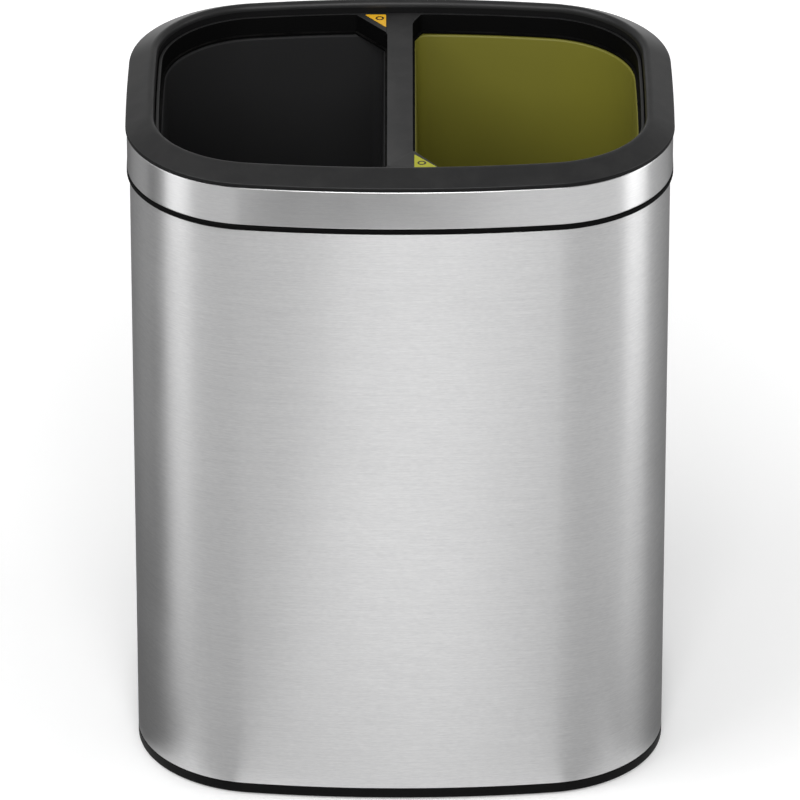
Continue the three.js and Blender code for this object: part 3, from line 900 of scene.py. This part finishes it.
def makeScrew(node, name, body, headRadius, headHeight):
    low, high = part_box(node)
    place = nodeMiddle(node)
    points = [(headRadius * across, low.z + headHeight * up) for across, up in screw["head"]]
    points += [
        (screw["shank"], low.z + headHeight),
        (screw["shank"], high.z - screw["tip"]),
        (screw["shank"] * screw["tipShare"], high.z),
        (0, high.z),
    ]
    bm = bmesh.new()
    turnPart(bm, points, place, screw["steps"])
    cross = bmesh.ops.create_grid(bm, x_segments=3, y_segments=3, size=1)["verts"]
    for vert in cross:
        vert.co = (armPlace(vert.co.x), armPlace(vert.co.y), low.z)
    socket = list({face for vert in cross for face in vert.link_faces})
    bmesh.ops.delete(bm, geom=[face for face in socket if betweenArms(face)], context="FACES")
    cross = [vert for vert in cross if vert.is_valid]
    bmesh.ops.translate(bm, vec=(*place, 0), verts=cross)
    pullFaces(bm, [face for face in socket if face.is_valid], screw["socketDeep"])
    openEdges = [edge for edge in bm.edges if edge.is_boundary]
    bmesh.ops.bridge_loops(bm, edges=openEdges)
    faceOut(bm)
    finishPiece(bm, name, ["zincPlate"], body, [node], sharp=35)


makeBasePan()
for corner, camel in corners.items():
    makeFoot("foot_" + corner, "foot" + camel)
    makeScrew("foot_screw_" + corner, "footScrew" + camel, "bin_body", *screw["footHead"])
print("base made")

# collar in the body's mouth
collar = {
    "proud": 0.0022,
    "inner": 0.0086,
    "wall": 0.0018,
    "outerLeg": 0.022,
    "innerLeg": 0.018,
    "outerLegInset": 0.0019,
    "round": 0.0006,
    "edgeRound": 0.0012,
}


def makeCollar():
    low = shellTop + seatGap
    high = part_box("shell_collar")[1].z
    inner = collar["inner"]
    leg = collar["outerLegInset"]
    points = [
        (-collar["proud"], low, collar["edgeRound"]),
        (-collar["proud"], high, collar["edgeRound"]),
        (inner, high, collar["round"]),
        (inner, low - collar["innerLeg"], collar["round"]),
        (inner - collar["wall"], low - collar["innerLeg"], collar["round"]),
        (inner - collar["wall"], low),
        (leg + collar["wall"], low),
        (leg + collar["wall"], low - collar["outerLeg"], collar["round"]),
        (leg, low - collar["outerLeg"], collar["round"]),
        (leg, low),
    ]
    # the collar takes the near-black skirt finish: its own black plastic, with painted shade in the gap
    # under the band
    ringPiece("mouthCollar", points, "skirtPaintedShade", "bin_body", "shell_collar")


makeCollar()
print("collar made")

# top ring: steel band, carrier, rim and divider frame
band = {
    "proud": 0.0018,
    "sheet": 0.0008,
    "topFlange": 0.0029,
    "footFlange": 0.0032,
    "edgeRound": 0.0009,
    "foldRound": 0.0003,
}
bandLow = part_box("steel_band")[0].z
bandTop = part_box("steel_band")[1].z


def makeBand():
    outer = -band["proud"]
    sheet = band["sheet"]
    inner = outer + sheet
    points = [
        (outer, bandLow, band["edgeRound"]),
        (outer, bandTop, band["edgeRound"]),
        (outer + band["topFlange"], bandTop, band["foldRound"]),
        (outer + band["topFlange"], bandTop - sheet),
        (inner, bandTop - sheet),
        (inner, bandLow + sheet),
        (outer + band["footFlange"], bandLow + sheet),
        (outer + band["footFlange"], bandLow, band["foldRound"]),
    ]
    ringPiece("steelBand", points, "bandSteel", "top_ring", "steel_band")


carrier = {
    "wall": 0.0018,
    "webLow": bandLow + 0.0036,
    "web": 0.0025,
    "spigotOuter": 0.0089,
    "innerInset": 0.012,
    "round": 0.0005,
    "screws": [f"carrier_screw_{index}" for index in range(1, 7)],
    "screwHead": 0.003,
    "screwHeadHeight": 0.002,
}


def makeCarrier():
    wall = carrier["wall"]
    outer = band["sheet"] - band["proud"] + seatGap
    inner = carrier["innerInset"]
    spigot = carrier["spigotOuter"]
    webLow = carrier["webLow"]
    webTop = webLow + carrier["web"]
    low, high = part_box("ring_carrier")
    corner = carrier["round"]
    outerLow = bandLow + band["sheet"] + seatGap
    outerTop = bandTop - band["sheet"] - seatGap
    points = [
        (outer, outerLow, corner),
        (outer, outerTop, corner),
        (outer + wall, outerTop, corner),
        (outer + wall, webTop),
        (inner - wall, webTop),
        (inner - wall, high.z, corner),
        (inner, high.z, corner),
        (inner, webLow, corner),
        (spigot + wall, webLow),
        (spigot + wall, low.z, corner),
        (spigot, low.z, corner),
        (spigot, webLow),
        (outer + wall, webLow),
        (outer + wall, outerLow, corner),
    ]
    ringPiece("ringCarrier", points, "blackPlastic", "top_ring", "ring_carrier")


rim = {
    "overhang": 0.0029,
    "footDraft": 0.0002,
    "footRound": 0.0008,
    "edgeHeight": 0.0032,
    "edgeDrop": 0.0009,
    "edgeRound": 0.0012,
    "shoulderStep": 0.0008,
    "width": 0.019,
    "crestRound": 0.004,
    "peakCut": 0.00045,
    "innerDrop": 0.0082,
    "innerRound": 0.0003,
    "lipTop": 0.0029,
    "wall": 0.002,
    "bossRadius": 0.0035,
    "bossShare": 0.7,  # how far the bosses reach into the skin above them
    "bossSteps": 20,
}
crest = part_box("rim_moulding")[1].z
rimLow = bandTop + seatGap
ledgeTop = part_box("divider_frame")[1].z
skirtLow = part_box("divider_frame")[0].z


def makeRim():
    outer = -rim["overhang"]
    width = rim["width"]
    radius = rim["crestRound"]
    shoulder = (outer + rim["shoulderStep"], rimLow + rim["edgeHeight"])
    toRound = Vector((width - radius - shoulder[0], crest - radius - shoulder[1]))
    slopeAngle = headingOf(toRound) + math.asin(radius / toRound.length)
    slope = math.tan(slopeAngle)

    def slopeAt(inset):
        return shoulder[1] + slope * (inset - shoulder[0])

    crestReach = radius / math.tan((quarterTurn - slopeAngle) / 2)
    skin = rim["wall"] / math.cos(slopeAngle)
    wallInside = width - rim["wall"]
    footInside = outer + 2 * rim["wall"]
    innerLow = ledgeTop - rim["innerDrop"]
    points = [
        (outer + rim["footDraft"], rimLow, rim["footRound"]),
        (outer, shoulder[1] - rim["edgeDrop"], rim["edgeRound"]),
        (*shoulder, rim["edgeRound"]),
        (width, slopeAt(width) - rim["peakCut"], crestReach),
        (width, innerLow, rim["innerRound"]),
        (wallInside, innerLow, rim["innerRound"]),
        (wallInside, slopeAt(wallInside) - skin),
        (footInside, slopeAt(footInside) - skin),
        (footInside, rimLow, rim["innerRound"]),
    ]
    bm = bmesh.new()
    drawSection(bm, points, closed=True)
    carryRound(bm)
    bossLow = carrier["webLow"] + carrier["web"] + seatGap
    bossInset = plan["halfWidth"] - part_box("carrier_screw_6")[1].x + carrier["screwHead"]
    bossTop = slopeAt(bossInset - rim["bossRadius"]) - skin * rim["bossShare"]
    boss = [(0, bossLow), (rim["bossRadius"], bossLow), (rim["bossRadius"], bossTop), (0, bossTop)]
    for node in carrier["screws"]:
        turnPart(bm, boss, nodeMiddle(node), rim["bossSteps"])
    faceOut(bm)
    # faces of the lower lip get the darker finish: painted shade where the rim turns under
    paintShadeBelow(bm, rimLow + rim["lipTop"])
    finishPiece(bm, "rimMoulding", ["rimPlastic", "lipPaintedShade"], "top_ring", ["rim_moulding"])


divider = {
    "outerInset": 0.0199,
    "openingInset": 0.0227,
    "half": 0.0102,
    "flangeInset": 0.0102,
    "flangeTop": 0.0085,
    "skin": 0.0016,
    "edgeStrip": 0.0007,
    "edgeRound": 0.0005,
    "edgeSteps": 3,
    "edgeFrom": 50,  # edges that bend by more degrees than this are rounded
    "cornerRound": 0.0016,
    "cornerSteps": 5,
    "cornerFrom": 15,  # and corners of the openings
    "bead": 0.0018,
    "gussetRight": (0.027, 0.040),
    "gussetLeft": (0.024, 0.032),
    "cornerCut": (0.0065, 0.014),
    "sink": 0.0008,
    "step": 0.0006,
    "rampFront": (0.1165, 0.1225),
    "rampBack": (0.127, 0.1325),
    "reach": 0.0001,  # verts this near to the strip sink too
}


def drawOpening(bm, gusset, grow):  # the right-hand opening's outline as one level face
    inset = divider["openingInset"] - grow
    bm.verts.new((plan["halfWidth"] - inset, 0, ledgeTop))
    carryFromSide(bm, math.acos((divider["half"] - grow) / (plan["faceRadius"] - inset)))
    mirrorAcross(bm, "Y")
    bm.edges.new([vert for vert in bm.verts if len(vert.link_edges) == 1])
    bmesh.ops.contextual_create(bm, geom=bm.edges[:])
    lineY = faceAt(divider["openingInset"], divider["half"])
    for (across, along), end in ((gusset, -1), (divider["cornerCut"], 1)):
        normal = Vector((-along, end * across, 0)).normalized()
        place = Vector((divider["half"] + across, end * lineY, 0)) + normal * grow
        cutFaces(bm, bm.faces[:], place, normal, clear=True)


def makeOpening(gusset):  # the opening's edge, its skirt down into the bucket and a bead at its foot
    bm = bmesh.new()
    strip = divider["edgeStrip"]
    drawOpening(bm, gusset, strip)
    bends = [vert for vert in bm.verts if vert.calc_edge_angle(0) > math.radians(divider["cornerFrom"])]
    for vert in bends:
        roundCorner(bm, vert, divider["cornerRound"], divider["cornerSteps"])
    bmesh.ops.inset_region(bm, faces=bm.faces[:], thickness=strip, use_even_offset=True)
    inside = max(bm.faces, key=lambda face: len(face.verts))
    cap = pullFaces(bm, [inside], skirtLow + divider["skin"] - ledgeTop)
    bmesh.ops.inset_region(bm, faces=cap, thickness=divider["bead"], use_even_offset=True)
    bmesh.ops.delete(bm, geom=cap, context="FACES_ONLY")
    return bm


def makeDividerFrame():
    bm = bmesh.new()
    takeIn(bm, makeOpening(divider["gussetRight"]))
    opening = makeOpening(divider["gussetLeft"])
    halfTurn(opening)
    takeIn(bm, opening)
    flange = bmesh.new()
    points = [
        (divider["outerInset"], ledgeTop),
        (divider["outerInset"], ledgeTop - divider["flangeTop"]),
        (divider["flangeInset"], ledgeTop - divider["flangeTop"]),
    ]
    drawSection(flange, points, closed=False)
    carryRound(flange)
    takeIn(bm, flange)
    ends = [edge for edge in bm.edges if edge.is_boundary]
    rims = [edge for edge in ends if all(abs(vert.co.z - ledgeTop) < levelGap for vert in edge.verts)]
    bmesh.ops.triangle_fill(bm, use_beauty=True, use_dissolve=False, edges=rims, normal=(0, 0, 1))
    bmesh.ops.remove_doubles(bm, verts=bm.verts[:], dist=mergeGap)
    sinkDivider(bm)
    faceOut(bm)
    if sum(face.normal.z * face.calc_area() for face in levelFaces(bm, ledgeTop)) < 0:
        bmesh.ops.reverse_faces(bm, faces=bm.faces[:])
    bmesh.ops.solidify(bm, geom=bm.faces[:], thickness=divider["skin"])
    faceOut(bm)
    bevelSharp(bm, divider["edgeRound"], divider["edgeSteps"], divider["edgeFrom"])
    # skirt faces below the ledge get the near-black finish: painted shade between rim and bucket
    paintShadeBelow(bm, ledgeTop - 2 * divider["sink"])
    looks = ["framePlastic", "skirtPaintedShade"]
    finishPiece(bm, "dividerFrame", looks, "top_ring", ["divider_frame"])


def sinkDivider(bm):  # the divider lies a little lower than the ledge, with a short ramp at each end
    frontLow, frontHigh = divider["rampFront"]
    backLow, backHigh = divider["rampBack"]
    cuts = [((0, y, 0), (0, 1, 0)) for y in (-frontHigh, -frontLow, backLow, backHigh)]
    for side in (-1, 1):
        for x in (divider["half"], divider["half"] + divider["step"]):
            cuts.append(((side * x, 0, 0), (1, 0, 0)))
    for place, normal in cuts:
        cutFaces(bm, levelFaces(bm, ledgeTop), place, normal)
    reach = divider["reach"]
    sunk = [
        vert
        for vert in bm.verts
        if abs(vert.co.x) < divider["half"] + reach
        and -frontLow - reach < vert.co.y < backLow + reach
        and vert.co.z > ledgeTop - reach
    ]
    bmesh.ops.translate(bm, vec=(0, 0, -divider["sink"]), verts=sunk)


makeBand()
makeCarrier()
makeRim()
makeDividerFrame()
for index, node in enumerate(carrier["screws"], 1):
    makeScrew(node, f"carrierScrew{index}", "top_ring", carrier["screwHead"], carrier["screwHeadHeight"])
print("top ring made")

# labels on the gussets
label = {
    "cornerRound": 0.0011,
    "cornerSteps": 5,
    "outline": 0.0006,
    "border": 0.0009,
    "thickShare": 0.8,
    "markRadius": 0.0033,
    "markWidth": 0.0014,
    "markThick": 0.00004,
    "markSteps": 32,
    "markPlace": {"left": (0.3, 0.3), "right": (0.22, 0.55)},
}


def makeLabel(side, look, edgeLook):
    node = "label_" + side
    low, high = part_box(node)
    near, far = (low, high) if side == "right" else (high, low)
    corner = Vector((near.x, near.y, low.z))
    across = far.x - near.x
    along = far.y - near.y
    thick = (high.z - low.z) * label["thickShare"]
    bm = bmesh.new()
    places = (corner, corner + Vector((across, 0, 0)), corner + Vector((0, along, 0)))
    verts = [bm.verts.new(place) for place in places]
    bm.faces.new(verts)
    for vert in verts:
        roundCorner(bm, vert, label["cornerRound"], label["cornerSteps"])
    faceOut(bm)
    face = bm.faces[:][0]
    if face.normal.z < 0:
        bmesh.ops.reverse_faces(bm, faces=[face])
    for index, width in ((2, label["outline"]), (1, label["border"])):
        ring = bmesh.ops.inset_region(bm, faces=[face], thickness=width, use_even_offset=True)["faces"]
        for part in ring:
            part.material_index = index
    top = bmesh.ops.extrude_face_region(bm, geom=bm.faces[:])["geom"]
    bmesh.ops.translate(bm, vec=(0, 0, thick), verts=vertsOf(top))
    faceOut(bm)
    finishPiece(bm, "label" + side.title(), [look, edgeLook, "labelInk"], "top_ring", [node], sharp=30)
    markAcross, markAlong = label["markPlace"][side]
    middle = corner + Vector((across * markAcross, along * markAlong, 0))
    addMark("labelMark" + side.title(), (middle.x, middle.y), low.z + thick)


def addMark(name, place, height):  # a plain ring in place of the label's icon
    outer = label["markRadius"]
    inner = outer - label["markWidth"]
    low = height - label["markThick"]
    high = height + label["markThick"]
    bm = bmesh.new()
    points = [(outer, low), (outer, high), (inner, high), (inner, low)]
    turnPart(bm, points, place, label["markSteps"], closed=True)
    faceOut(bm)
    finishPiece(bm, name, ["labelInk"], "top_ring")


makeLabel("left", "amberFilm", "amberEdge")
makeLabel("right", "limeFilm", "limeEdge")
print("labels made")

# buckets and their handles
bucket = {
    "inside": 0.0247,
    "outside": 0.0227,
    "draft": 0.008,
    "fillet": 0.010,
    "lineMargin": 0.002,
    "lipOuter": 0.015,
    "lipThick": 0.002,
    "lipSkirt": 0.010,
    "lipSkirtWall": 0.0016,
    "bottom": 0.0088,
    "floorTop": 0.0113,
    "floorReach": 0.0016,
    "floorRound": 0.0014,
    "bottomRound": 0.0016,
    "innerRound": 0.0013,
    "outerRound": 0.0009,
    "neckRound": 0.0008,
    "skirtRound": 0.0005,
    "skirtTopRound": 0.0004,
}
handle = {
    "outer": 0.0156,
    "width": 0.0048,
    "pivotX": 0.095,
    "round": 0.0009,
    "pin": 0.0012,
    "pinRoot": 0.001,
    "pinSteps": 24,
    "earHalf": 0.004,
    "earInset": 0.013,
    "earRound": 0.0007,
}
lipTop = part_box("handle_right")[0].z - seatGap


def makeBucket(side, look):
    lip = bucket["lipOuter"]
    lipInside = lip + bucket["lipSkirtWall"]
    lipLow = lipTop - bucket["lipThick"]
    skirtEnd = lipTop - bucket["lipSkirt"]
    deep = bucket["inside"] + bucket["draft"]
    points = [
        (deep + bucket["floorReach"], bucket["floorTop"]),
        (deep, bucket["floorTop"], bucket["floorRound"]),
        (bucket["inside"], lipTop, bucket["innerRound"]),
        (lip, lipTop, bucket["outerRound"]),
        (lip, skirtEnd, bucket["skirtRound"]),
        (lipInside, skirtEnd, bucket["skirtRound"]),
        (lipInside, lipLow, bucket["skirtTopRound"]),
        (bucket["outside"], lipLow, bucket["neckRound"]),
        (bucket["outside"] + bucket["draft"], bucket["bottom"], bucket["bottomRound"]),
        (deep + bucket["floorReach"], bucket["bottom"]),
    ]
    bm = bmesh.new()
    drawSection(bm, points, closed=False, atSide=True)
    carryHalf(bm, divider["half"] + bucket["lineMargin"], bucket["inside"], bucket["fillet"])
    closeEnds(bm)
    for end in (-1, 1):
        addEar(bm, end)
    if side == "left":
        halfTurn(bm)
    finishPiece(bm, side + "Bucket", [look], side + "_bucket", ["bucket_" + side])


def addEar(bm, end):
    pivotX = handle["pivotX"]
    half = handle["earHalf"]
    inner = faceAt(bucket["lipOuter"], pivotX) - seatGap
    outer = faceAt(handle["earInset"], pivotX)
    near, far = sorted((end * inner, end * outer))
    low = (pivotX - half, near, lipTop - bucket["lipSkirt"])
    high = (pivotX + half, far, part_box("bucket_right")[1].z)
    addBlock(bm, low, high, bevel=handle["earRound"])


def makeHandle(side, look):
    low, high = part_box("handle_right")
    outer = handle["outer"]
    inner = outer + handle["width"]
    corner = handle["round"]
    points = [
        (outer, low.z, corner),
        (outer, high.z, corner),
        (inner, high.z, corner),
        (inner, low.z, corner),
    ]
    bm = bmesh.new()
    drawSection(bm, points, closed=True, atSide=True)
    radius = plan["faceRadius"] - outer - handle["width"] / 2
    carryFromSide(bm, math.acos(handle["pivotX"] / radius))
    mirrorAcross(bm, "Y")
    openEdges = [edge for edge in bm.edges if edge.is_boundary]
    bmesh.ops.holes_fill(bm, edges=openEdges, sides=0)
    faceOut(bm)
    axisZ = (low.z + high.z) / 2
    thick = (high.z - low.z) / 2
    hub = faceAt(outer, handle["pivotX"])
    pinEnd = faceAt(handle["earInset"], handle["pivotX"])
    for end in (-1, 1):
        addPin(bm, thick, end * (hub - handle["width"]), end * hub, axisZ)
        addPin(bm, handle["pin"], end * (hub - handle["pinRoot"]), end * pinEnd, axisZ)
    if side == "left":
        halfTurn(bm)
    finishPiece(bm, side + "Handle", [look], side + "_handle", ["handle_" + side])


def addPin(bm, radius, fromY, toY, height):
    place = (handle["pivotX"], (fromY + toY) / 2, height)
    addRod(bm, handle["pinSteps"], (radius, radius), abs(toY - fromY), place)


for side, look, slot in (
    ("left", "charcoalPlastic", "charcoal_plastic"),
    ("right", "olivePlastic", "olive_plastic"),
):
    makeBucket(side, look)
    makeHandle(side, look)
print("buckets and handles made")
